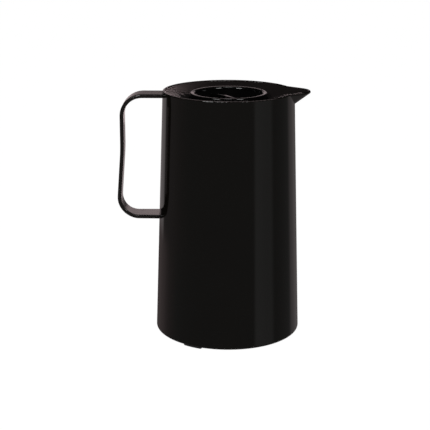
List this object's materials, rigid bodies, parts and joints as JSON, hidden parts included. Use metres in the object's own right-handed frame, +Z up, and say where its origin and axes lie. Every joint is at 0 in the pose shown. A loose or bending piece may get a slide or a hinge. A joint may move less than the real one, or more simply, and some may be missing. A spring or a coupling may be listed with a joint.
{
  "type": "thermal carafe",
  "caption": "Tapered vacuum jug with a pouring beak, dished top, sunken screw stopper and a strap handle.",
  "frame": {"origin": "on the table plane, under the middle of the whole outline over beak and handle; the jug's own axis stands 14.7 mm towards the beak", "axes": "+Z up along the jug's axis, +X towards the pouring beak, the handle towards -X"},
  "size_m": [0.1874, 0.1434, 0.242],
  "materials": {
    "shell_gloss_black": "high gloss moulded",
    "collar_satin_black": "satin moulded",
    "handle_black": "semi-gloss moulded",
    "stopper_gloss_black": "gloss moulded",
    "plug_black": "moulded, fine grain",
    "base_matt_black": "fine spark texture",
    "foot_rubber": "matt rubber",
    "seal_silicone": "satin silicone",
    "spacer_grey": "pressed fibre",
    "silvered_glass": "silvered inside the vacuum gap",
    "foam_white": "moulded bead foam"
  },
  "bodies": {
    "base": {"base_cap": "base_matt_black", "base_feet": "foot_rubber", "flask_cushion": "foot_rubber"},
    "base_seal": {"base_seal_ring": "seal_silicone"},
    "jug": {"outer_shell": "shell_gloss_black", "pouring_collar": "collar_satin_black", "handle": "handle_black", "flask_inner_wall": "silvered_glass", "flask_outer_wall": "silvered_glass", "flask_spacers": "spacer_grey", "flask_gasket": "seal_silicone"},
    "stopper_washer": {"stopper_seal": "seal_silicone"},
    "stopper": {"stopper_cap": "stopper_gloss_black", "stopper_plug": "plug_black", "stopper_bottom_cover": "plug_black", "stopper_insulation": "foam_white", "stopper_o_ring": "seal_silicone"}
  },
  "joints": [
    {"name": "stopper_rise", "type": "slide", "parent": "jug", "child": "stopper_washer", "axis": [0, 0, 1], "range_m": [0, 0.04]},
    {"name": "stopper_turn", "type": "hinge", "parent": "stopper_washer", "child": "stopper", "pos_m": [0.01471, 0, 0.236], "axis": [0, 0, 1], "range_deg": [0, 720]},
    {"name": "jug_rise", "type": "slide", "parent": "base", "child": "base_seal", "axis": [0, 0, 1], "range_m": [0, 0.014]},
    {"name": "jug_turn", "type": "hinge", "parent": "base_seal", "child": "jug", "pos_m": [0.01471, 0, 0.004], "axis": [0, 0, 1], "range_deg": [0, 630]}
  ],
  "couplings": [
    {"joint": "stopper_rise", "follows": "stopper_turn", "m_per_rad": 0.003183},
    {"joint": "jug_rise", "follows": "jug_turn", "m_per_rad": 0.001273}
  ]
}
